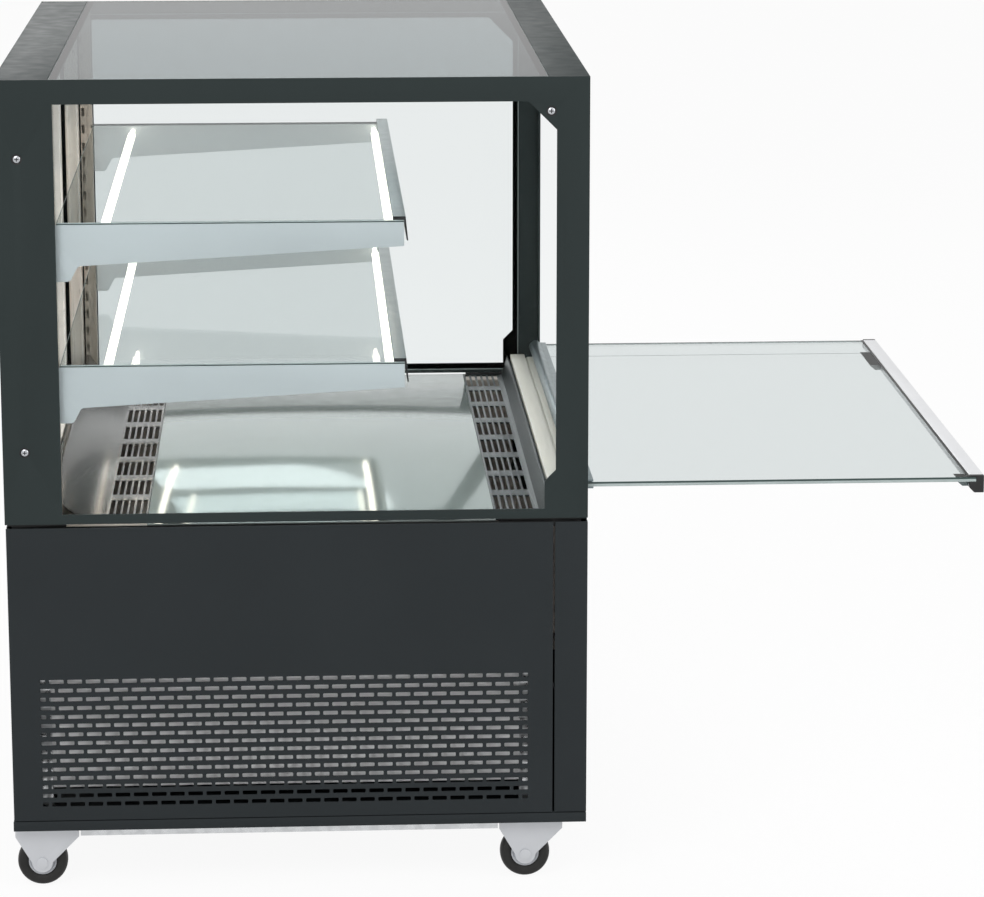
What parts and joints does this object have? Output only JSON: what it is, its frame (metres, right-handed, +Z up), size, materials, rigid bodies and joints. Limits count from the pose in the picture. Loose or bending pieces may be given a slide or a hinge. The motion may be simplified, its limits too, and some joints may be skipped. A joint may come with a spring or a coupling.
{
  "type": "pastry display case",
  "caption": "Refrigerated pastry display case on casters, with a fold-down front glass, glass shelves, sliding rear doors and a slotted side grille.",
  "frame": {"origin": "on the floor, under the middle of the footprint with the front glass lowered", "axes": "+X towards the customer's side where the front glass folds down, +Y along the case away from its grille end, +Z up"},
  "size_m": [1.218, 0.9, 1.025],
  "materials": {
    "charcoal_paint": "fine satin powder coat",
    "clear_glass": "clear toughened, pale green edge",
    "satin_stainless": "brushed along the case",
    "deck_steel": "satin, faintly blue",
    "galvanised_steel": "zinc coated sheet",
    "bracket_paint": "pale grey powder coat",
    "price_rail_plastic": "smooth extruded",
    "lamp_diffuser": "warm white diffuser",
    "cream_plastic": "smooth extruded",
    "door_white": "satin white",
    "bright_aluminium": "satin anodised",
    "black_plastic": "moulded",
    "grip_plastic": "moulded",
    "zinc_plate": "bright zinc",
    "screw_steel": "bright",
    "hub_plastic": "moulded light grey",
    "tyre_rubber": "moulded",
    "tub_liner": "smooth",
    "compressor_black": "gloss enamel",
    "coil_aluminium": "bare fins",
    "fan_plastic": "moulded",
    "control_plastic": "moulded",
    "switch_plastic": "moulded"
  },
  "bodies": {
    "cabinet": {"base_frame": "charcoal_paint", "base_rails": "galvanised_steel", "caster_plates": "zinc_plate", "compressor": "compressor_black", "condenser_coil": "coil_aluminium", "control_box": "control_plastic", "corner_posts": "galvanised_steel", "deck_plate": "deck_steel", "door_tracks": "black_plastic", "evaporator_coil": "coil_aluminium", "frame_screws": "screw_steel", "front_panel": "charcoal_paint", "front_sill": "charcoal_paint", "front_top_rail": "charcoal_paint", "front_vent_plate": "satin_stainless", "glass_pivot_pins": "zinc_plate", "insulated_tub": "tub_liner", "lower_shelf_glass": "clear_glass", "price_rails": "price_rail_plastic", "rear_jambs": "door_white", "rear_service_panel": "charcoal_paint", "rear_top_rail": "charcoal_paint", "rear_vent_plate": "satin_stainless", "shelf_brackets": "bracket_paint", "shelf_lamps": "lamp_diffuser", "shelf_uprights": "satin_stainless", "side_baffles": "galvanised_steel", "side_frame_left": "charcoal_paint", "side_frame_right": "charcoal_paint", "side_glass_left": "clear_glass", "side_glass_right": "clear_glass", "side_panel_left": "charcoal_paint", "side_panel_right": "charcoal_paint", "sill_cap": "cream_plastic", "top_glass": "clear_glass", "upper_shelf_glass": "clear_glass"},
    "front_glass": {"front_glass_pane": "clear_glass", "glass_hinge_rail": "bright_aluminium", "front_glass_rail": "bright_aluminium", "rail_end_caps": "black_plastic", "glass_grips": "grip_plastic"},
    "inner_door": {"inner_door_frame": "door_white", "inner_door_glass": "clear_glass"},
    "outer_door": {"outer_door_frame": "door_white", "outer_door_glass": "clear_glass"},
    "condenser_fan": {"condenser_fan": "fan_plastic"},
    "evaporator_fan": {"evaporator_fan": "fan_plastic"},
    "power_switch": {"power_switch": "switch_plastic"},
    "caster_swivel_1": {"caster_fork_1": "zinc_plate"},
    "caster_wheel_1": {"wheel_hub_1": "hub_plastic", "wheel_tyre_1": "tyre_rubber"},
    "caster_swivel_2": {"caster_fork_2": "zinc_plate"},
    "caster_wheel_2": {"wheel_hub_2": "hub_plastic", "wheel_tyre_2": "tyre_rubber"},
    "caster_swivel_3": {"caster_fork_3": "zinc_plate"},
    "caster_wheel_3": {"wheel_hub_3": "hub_plastic", "wheel_tyre_3": "tyre_rubber"},
    "caster_swivel_4": {"caster_fork_4": "zinc_plate"},
    "caster_wheel_4": {"wheel_hub_4": "hub_plastic", "wheel_tyre_4": "tyre_rubber"}
  },
  "joints": [
    {"name": "front_glass_fold", "type": "hinge", "parent": "cabinet", "child": "front_glass", "pos_m": [0.104, 0, 0.514], "axis": [0, 1, 0], "range_deg": [-90, 0]},
    {"name": "inner_door_slide", "type": "slide", "parent": "cabinet", "child": "inner_door", "axis": [0, 1, 0], "range_m": [0, 0.3977]},
    {"name": "outer_door_slide", "type": "slide", "parent": "cabinet", "child": "outer_door", "axis": [0, 1, 0], "range_m": [-0.3977, 0]},
    {"name": "caster_turn_1", "type": "hinge", "parent": "cabinet", "child": "caster_swivel_1", "pos_m": [-0.5685, -0.4185, 0.0785], "axis": [0, 0, 1], "continuous": true},
    {"name": "wheel_roll_1", "type": "hinge", "parent": "caster_swivel_1", "child": "caster_wheel_1", "pos_m": [-0.5755, -0.4185, 0.0315], "axis": [0, 1, 0], "continuous": true},
    {"name": "caster_turn_2", "type": "hinge", "parent": "cabinet", "child": "caster_swivel_2", "pos_m": [-0.5685, 0.4185, 0.0785], "axis": [0, 0, 1], "continuous": true},
    {"name": "wheel_roll_2", "type": "hinge", "parent": "caster_swivel_2", "child": "caster_wheel_2", "pos_m": [-0.5755, 0.4185, 0.0315], "axis": [0, 1, 0], "continuous": true},
    {"name": "caster_turn_3", "type": "hinge", "parent": "cabinet", "child": "caster_swivel_3", "pos_m": [0.042, -0.4185, 0.0785], "axis": [0, 0, 1], "continuous": true},
    {"name": "wheel_roll_3", "type": "hinge", "parent": "caster_swivel_3", "child": "caster_wheel_3", "pos_m": [0.035, -0.4185, 0.0315], "axis": [0, 1, 0], "continuous": true},
    {"name": "caster_turn_4", "type": "hinge", "parent": "cabinet", "child": "caster_swivel_4", "pos_m": [0.042, 0.4185, 0.0785], "axis": [0, 0, 1], "continuous": true},
    {"name": "wheel_roll_4", "type": "hinge", "parent": "caster_swivel_4", "child": "caster_wheel_4", "pos_m": [0.035, 0.4185, 0.0315], "axis": [0, 1, 0], "continuous": true},
    {"name": "condenser_fan_spin", "type": "hinge", "parent": "cabinet", "child": "condenser_fan", "pos_m": [-0.067, -0.12, 0.1825], "axis": [1, 0, 0], "continuous": true},
    {"name": "evaporator_fan_spin", "type": "hinge", "parent": "cabinet", "child": "evaporator_fan", "pos_m": [-0.297, 0, 0.372], "axis": [1, 0, 0], "continuous": true},
    {"name": "power_switch_rock", "type": "hinge", "parent": "cabinet", "child": "power_switch", "pos_m": [-0.604, 0.29, 0.232], "axis": [0, 1, 0], "range_deg": [0, 15]}
  ]
}
